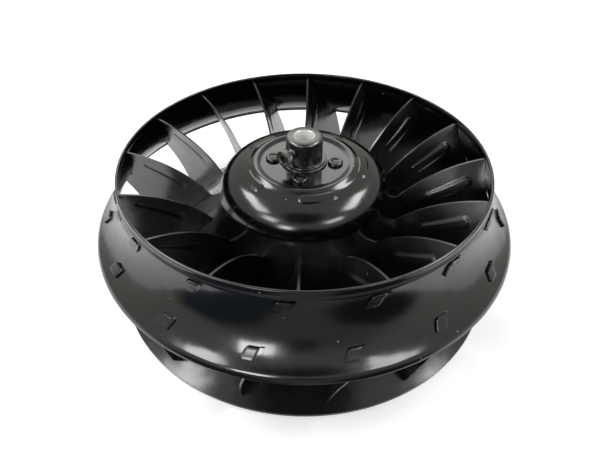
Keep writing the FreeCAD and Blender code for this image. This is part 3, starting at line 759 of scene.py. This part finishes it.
class FAN_OT_blades(bpy.types.Operator):
    """Rolls, ribs and trims one blade, folds its tabs, and sets it round the wheel"""
    bl_idname = "fan.blades"
    bl_label = "Blades"

    def execute(self, context):
        width = context.scene.wheel_sizes.flap_width
        finishes = start_materials(context.scene.wheel_colours)
        sheet = blade_sheet_piece("blade_blank")
        trimmer = turned("blade_trimmer", blade_outline(), 180)
        apply_modifier(sheet, "BOOLEAN", operation="INTERSECT", object=trimmer, solver="EXACT")
        remove(trimmer)
        expect_faces(sheet, 1000, "the blade's sheet was lost when it was trimmed")
        flaps = []
        for k, middle in enumerate(SHROUD_TABS):
            turns = (middle - TAB_HALF_ANGLE, middle + TAB_HALF_ANGLE)
            far = -FLAP_GAP - BLADE_SHEET
            flaps.append(flap_piece(f"flap_{k}", on_flare, far, -FLAP_GAP, turns, width, 1))
        for k, middle in enumerate(PLATE_TABS):
            turns = (middle - PLATE_TAB_HALF_ANGLE, middle + PLATE_TAB_HALF_ANGLE)
            near = PLATE_SHEET + FLAP_GAP
            flaps.append(flap_piece(f"under_flap_{k}", on_dish, near + BLADE_SHEET, near, turns, width, -1))
        blade = join([sheet] + flaps)
        for k in range(BLADE_COUNT):
            angle = FIRST_BLADE - 2 * math.pi * k / BLADE_COUNT
            piece = copied(blade, f"pressed_blade_{k + 1:02d}", angle)
            finish_piece(piece, finishes["blade"], [f"blade_{k + 1:02d}"], 30)
        remove(blade)
        return {"FINISHED"}


class FAN_OT_hub(bpy.types.Operator):
    """Turns the bored hub with its collar and under-flange"""
    bl_idname = "fan.hub"
    bl_label = "Hub"

    def execute(self, context):
        finishes = start_materials(context.scene.wheel_colours)
        under = FLOOR_HEIGHT - PLATE_SHEET
        collar = FLOOR_HEIGHT + SPIGOT_HEIGHT
        ledge = collar - LEDGE_DROP
        step = SPIGOT_RADIUS - LEDGE_WIDTH
        outline = [(BORE_RADIUS + LOWER_CHAMFER, HUB_BOTTOM), (FLANGE_RADIUS - HUB_ROUND, HUB_BOTTOM)]
        outline += arc(FLANGE_RADIUS - HUB_ROUND, HUB_BOTTOM + HUB_ROUND, HUB_ROUND, -QUARTER, 0, 4)[1:]
        outline += [(FLANGE_RADIUS, under - 0.02 * MM), (SPIGOT_RADIUS, under)]
        outline += arc(SPIGOT_RADIUS - LEDGE_ROUND, ledge - LEDGE_ROUND, LEDGE_ROUND, 0, QUARTER, 5)
        outline += [(step, ledge)]
        outline += arc(step - HUB_ROUND, collar - HUB_ROUND, HUB_ROUND, 0, QUARTER, 5)
        outline += [(BOSS_RADIUS + BOSS_FILLET, collar), (BOSS_RADIUS, collar + BOSS_FILLET)]
        outline += [(BOSS_RADIUS - inward * MM, HUB_TOP - down * MM) for inward, down in BOSS_CORNER]
        outline += [(BORE_RADIUS + UPPER_CHAMFER, HUB_TOP), (BORE_RADIUS, HUB_TOP - UPPER_CHAMFER)]
        outline += [(BORE_RADIUS, HUB_BOTTOM + LOWER_CHAMFER)]
        piece = turned("bored_hub", outline, 128)
        finish_piece(piece, finishes["steel"], ["hub"], 30)
        return {"FINISHED"}


class FAN_OT_rivets(bpy.types.Operator):
    """Heads one rivet and sets four round the hub"""
    bl_idname = "fan.rivets"
    bl_label = "Hub Rivets"

    def execute(self, context):
        sizes = context.scene.wheel_sizes
        finishes = start_materials(context.scene.wheel_colours)
        head, top = sizes.rivet_radius, FLOOR_HEIGHT + sizes.rivet_height
        tail = HUB_BOTTOM - RIVET_TAIL_HEIGHT
        outline = [(0, tail), (RIVET_TAIL_RADIUS - RIVET_TAIL_CHAMFER, tail)]
        outline += [(RIVET_TAIL_RADIUS, tail + RIVET_TAIL_CHAMFER), (RIVET_TAIL_RADIUS, HUB_BOTTOM)]
        outline += [(RIVET_SHANK, HUB_BOTTOM), (RIVET_SHANK, FLOOR_HEIGHT)]
        outline += [(head - 0.2 * MM, FLOOR_HEIGHT), (head, FLOOR_HEIGHT + 0.25 * MM)]
        outline += arc(head - RIVET_EDGE, top - RIVET_EDGE, RIVET_EDGE, 0, QUARTER, 10)
        outline += [(radius * MM, top - depth * MM) for radius, depth in RIVET_DIMPLE]
        rivet = turned("rivet", outline, 64, closed=False)
        rivet.location.x = RIVET_CIRCLE
        settle(rivet)
        turns = [RIVET_TURN + 2 * math.pi * k / RIVET_COUNT for k in range(RIVET_COUNT)]
        ring = [copied(rivet, f"rivet_{k}", turn) for k, turn in enumerate(turns)]
        remove(rivet)
        piece = join(ring)
        piece.name = "rivet_heads"
        finish_piece(piece, finishes["paint"], ["hub_rivets"])
        return {"FINISHED"}


class FAN_OT_screw(bpy.types.Operator):
    """Turns, knurls and sockets the clamp screw"""
    bl_idname = "fan.screw"
    bl_label = "Clamp Screw"

    def execute(self, context):
        sizes = context.scene.wheel_sizes
        finishes = start_materials(context.scene.wheel_colours)
        length, radius, teeth = sizes.screw_height, sizes.screw_radius, sizes.knurl_teeth
        face = SCREW_SEAT + length
        bpy.ops.object.select_all(action="DESELECT")
        bpy.ops.mesh.primitive_cylinder_add(
            vertices=2 * teeth, radius=radius, depth=length, location=(SCREW_SEAT + length / 2, 0, 0),
            rotation=(0, QUARTER, 0), end_fill_type="NOTHING")
        piece = bpy.context.object
        piece.name = "cap_screw"
        settle(piece)
        step = math.pi / teeth
        choose(piece, [round(math.atan2(v.co.y, v.co.z) / step) % 2 == 1 for v in piece.data.vertices])
        self.narrow(KNURL_SHARE, face)
        leave_edit()
        self.close_face(piece, face, radius)
        self.add_shank(piece)
        piece.rotation_euler.z = SCREW_TURN
        piece.location.z = SCREW_HEIGHT
        settle(piece)
        finish_piece(piece, finishes["screw"], ["clamp_screw"], 40)
        return {"FINISHED"}

    def narrow(self, share, face):
        """Draws what is selected in towards the screw's axis."""
        bpy.ops.transform.resize(value=(1, share, share), center_override=(face, 0, 0))

    def extend(self, sink, share, face):
        """Extrudes what is selected into the head by a depth, and narrows it."""
        bpy.ops.mesh.extrude_region_move(TRANSFORM_OT_translate={"value": (-sink, 0, 0)})
        self.narrow(share, face)

    def close_face(self, piece, face, radius):
        """Closes the head with a ring face and a dished middle, and sinks its hexagon socket."""
        choose(piece, [abs(vertex.co.x - face) < 0.01 * MM for vertex in piece.data.vertices])
        ring = radius - SCREW_CHAMFER
        self.extend(0, ring / radius, face)
        self.extend(0, SOCKET_RIM / ring, face)
        self.extend(SOCKET_SINK, SINK_TAPER, face)
        bpy.ops.mesh.edge_face_add()
        leave_edit()
        choose(piece, [abs(vertex.co.x - SCREW_SEAT) < 0.01 * MM for vertex in piece.data.vertices])
        bpy.ops.mesh.edge_face_add()
        bpy.ops.mesh.select_all(action="SELECT")
        bpy.ops.mesh.normals_make_consistent(inside=False)
        leave_edit()
        bpy.ops.object.select_all(action="DESELECT")
        bpy.ops.mesh.primitive_cylinder_add(
            vertices=6, radius=SOCKET_FLATS / 2 / math.cos(math.pi / 6), depth=2 * SOCKET_DEPTH,
            location=(face, 0, 0), rotation=(0, QUARTER, 0))
        socket = bpy.context.object
        settle(socket)
        apply_modifier(piece, "BOOLEAN", operation="DIFFERENCE", object=socket, solver="EXACT")
        remove(socket)
        expect_faces(piece, 100, "the screw's head was lost when its socket was cut")

    def add_shank(self, piece):
        """Turns the threaded shank, which shows between the head and the hub."""
        foot = BORE_RADIUS + 1.5 * MM
        ridges = round((SCREW_SEAT + 0.2 * MM - foot) / THREAD_STEP)
        outline = [(0, foot)]
        outline += [(THREAD_CREST if k % 2 else THREAD_ROOT, foot + THREAD_STEP * k) for k in range(ridges + 1)]
        outline += [(0, foot + THREAD_STEP * ridges)]
        shank = turned("screw_shank", outline, 48, closed=False)
        shank.rotation_euler.y = QUARTER
        settle(shank)
        join([piece, shank])


TABLE_SIZE = 5
TABLE_DROP = 0.5 * MM
# Reflections in the wheel see past the table in front of this line, to the darker front of the room.
TABLE_FRONT = -0.2
CAMERA_PLACE = (-0.0034, -0.3218, RIM_HEIGHT + 0.2097)
CAMERA_DIP = 41.922
CAMERA_LENS = 28.44

# Soft lamps round the table: bearing and height in degrees, distance, width and depth in metres, power in watts
SOFTBOXES = (
    ("left softbox", 172, 50, 1.6, 1.2, 0.38, 15),
    ("right softbox", 12, 50, 1.6, 1.0, 0.36, 13),
    ("front left softbox", -139, 36, 1.7, 0.5, 0.34, 5.4),
    ("front window", -112, 19, 1.7, 0.44, 0.38, 7.5),
    ("front right softbox", -48, 36, 1.7, 0.6, 0.28, 4.4),
    ("rear softbox", 94, 36, 1.8, 1, 0.7, 5),
)

# What the enamel mirrors of the room, over its pale walls: bearing, height and spread in degrees, and colour
ROOM = (
    ("table front", -90, -26, 60, "#a5a29b"),
    ("dark coat", -133, -24, 29, "#4a5666"),
    ("dark sleeve", -115, -46, 17, "#4a5666"),
    ("doorway", -54, -26, 26, "#3f3e39"),
    ("photographer", -92, 60, 25, "#4c4b47"),
    ("hands", -91, 15, 10, "#5f5d54"),
)


class FAN_OT_stage(bpy.types.Operator):
    """Lays the white table, hangs the soft lamps and sets up the camera"""
    bl_idname = "fan.stage"
    bl_label = "Studio Table"

    def execute(self, context):
        bpy.ops.object.select_all(action="DESELECT")
        bpy.ops.mesh.primitive_plane_add(size=TABLE_SIZE, location=(0, 0, -TABLE_DROP))
        table = bpy.context.object
        table.name = "studio_table"
        settle(table)
        table.data.materials.append(self.table_finish(context.scene.wheel_colours.table))
        middle = Vector((0, 0, 0.08))
        for name, bearing, height, reach, width, depth, power in SOFTBOXES:
            self.lamp(name, middle + self.heading(bearing, height) * reach, middle, width, depth, power)
        self.sky(context.scene)
        camera = bpy.data.objects.new("photo camera", bpy.data.cameras.new("photo camera"))
        context.scene.collection.objects.link(camera)
        camera.data.lens = CAMERA_LENS
        camera.data.sensor_width = 36
        camera.data.clip_start = 0.01
        camera.location = CAMERA_PLACE
        camera.rotation_euler = (math.radians(90 - CAMERA_DIP), 0, 0)
        context.scene.camera = camera
        context.scene.view_settings.view_transform = "Standard"
        return {"FINISHED"}

    def heading(self, bearing, height):
        """Direction at a bearing and a height in degrees."""
        bearing, height = math.radians(bearing), math.radians(height)
        level = math.cos(height)
        return Vector((level * math.cos(bearing), level * math.sin(bearing), math.sin(height)))

    def lamp(self, name, place, aim, width, depth, power):
        data = bpy.data.lights.new(name, "AREA")
        data.shape = "RECTANGLE"
        data.size = width
        data.size_y = depth
        data.energy = power
        lamp = bpy.data.objects.new(name, data)
        lamp.location = place
        lamp.rotation_euler = (aim - place).to_track_quat("-Z", "Y").to_euler()
        bpy.context.scene.collection.objects.link(lamp)

    def table_finish(self, colour):
        """Matt white studio board: it keeps the wheel's soft shadow, and is a little lifted where it is seen."""
        material, tree, shader, place = start_finish("matt white studio board")
        rays = add_node(tree, "ShaderNodeLightPath")
        camera, glossy = (rays, "Is Camera Ray"), (rays, "Is Glossy Ray")
        seen = maths(tree, "MAXIMUM", camera, glossy)
        seen = maths(tree, "MAXIMUM", seen, (rays, "Is Transmission Ray"))
        lift = maths(tree, "MULTIPLY_ADD", camera, 0.13, maths(tree, "MULTIPLY", seen, 0.12))
        shader.inputs["Roughness"].default_value = 0.8
        shader.inputs["Emission Color"].default_value = (1, 1, 1, 1)
        tint = mixed(tree, noise(tree, place, 9.0), list(colour), linear("#f8f8f7"))
        feed(tree, shader, {"Base Color": tint, "Emission Strength": lift})
        split = add_node(tree, "ShaderNodeSeparateXYZ", {}, {"Vector": place})
        front = maths(tree, "LESS_THAN", (split, "Y"), TABLE_FRONT)
        clear = add_node(tree, "ShaderNodeBsdfTransparent")
        parts = {0: maths(tree, "MULTIPLY", front, glossy), 1: (shader, "BSDF"), 2: (clear, "BSDF")}
        board = add_node(tree, "ShaderNodeMixShader", {}, parts)
        feed(tree, tree.nodes["Material Output"], {"Surface": (board, "Shader")})
        return material

    def sky(self, scene):
        """White room: even light, white to the camera, with pale walls and darker patches for the gloss to mirror."""
        world = bpy.data.worlds.new("white room")
        scene.world = world
        world.use_nodes = True
        tree = world.node_tree
        place = (add_node(tree, "ShaderNodeTexCoord"), "Generated")
        room = mixed(tree, noise(tree, place, 2.6, 3.0), linear("#c4c2bb"), linear("#ece9e2"))
        for name, bearing, height, spread, colour in ROOM:
            near, far = math.cos(math.radians(spread * 0.6)), math.cos(math.radians(spread))
            aim = {"operation": "DOT_PRODUCT", 1: self.heading(bearing, height)}
            toward = add_node(tree, "ShaderNodeVectorMath", aim, {0: place})
            edge = {"interpolation_type": "SMOOTHSTEP", "From Min": far, "From Max": near}
            mask = add_node(tree, "ShaderNodeMapRange", edge, {"Value": (toward, "Value")})
            room = mixed(tree, (mask, "Result"), room, linear(colour), name)
        rays = add_node(tree, "ShaderNodeLightPath")
        even = mixed(tree, (rays, "Is Glossy Ray"), [0.14, 0.14, 0.14, 1], room)
        seen = maths(tree, "MAXIMUM", (rays, "Is Camera Ray"), (rays, "Is Transmission Ray"))
        feed(tree, tree.nodes["Background"], {"Color": mixed(tree, seen, even, [1, 1, 1, 1])})


STEPS = (FAN_OT_stage, FAN_OT_shroud, FAN_OT_back_plate, FAN_OT_blades, FAN_OT_hub, FAN_OT_rivets, FAN_OT_screw)


class FAN_PT_wheel(bpy.types.Panel):
    bl_label = "Fan Wheel"
    bl_idname = "FAN_PT_wheel"
    bl_space_type = "VIEW_3D"
    bl_region_type = "UI"
    bl_category = "Fan Wheel"

    def draw(self, context):
        layout = self.layout
        for group in (context.scene.wheel_sizes, context.scene.wheel_colours):
            for name in group.__annotations__:
                layout.prop(group, name)
        for step in STEPS:
            layout.operator(step.bl_idname)


CLASSES = (WheelSizes, WheelColours, *STEPS, FAN_PT_wheel)


def register():
    for part in CLASSES:
        bpy.utils.register_class(part)
    bpy.types.Scene.wheel_sizes = bpy.props.PointerProperty(type=WheelSizes)
    bpy.types.Scene.wheel_colours = bpy.props.PointerProperty(type=WheelColours)


def unregister():
    del bpy.types.Scene.wheel_colours
    del bpy.types.Scene.wheel_sizes
    for part in reversed(CLASSES):
        bpy.utils.unregister_class(part)


def main():
    register()
    bpy.ops.fan.stage()
    bpy.ops.fan.shroud()
    bpy.ops.fan.back_plate()
    bpy.ops.fan.blades()
    bpy.ops.fan.hub()
    bpy.ops.fan.rivets()
    bpy.ops.fan.screw()


if __name__ == "__main__":
    main()
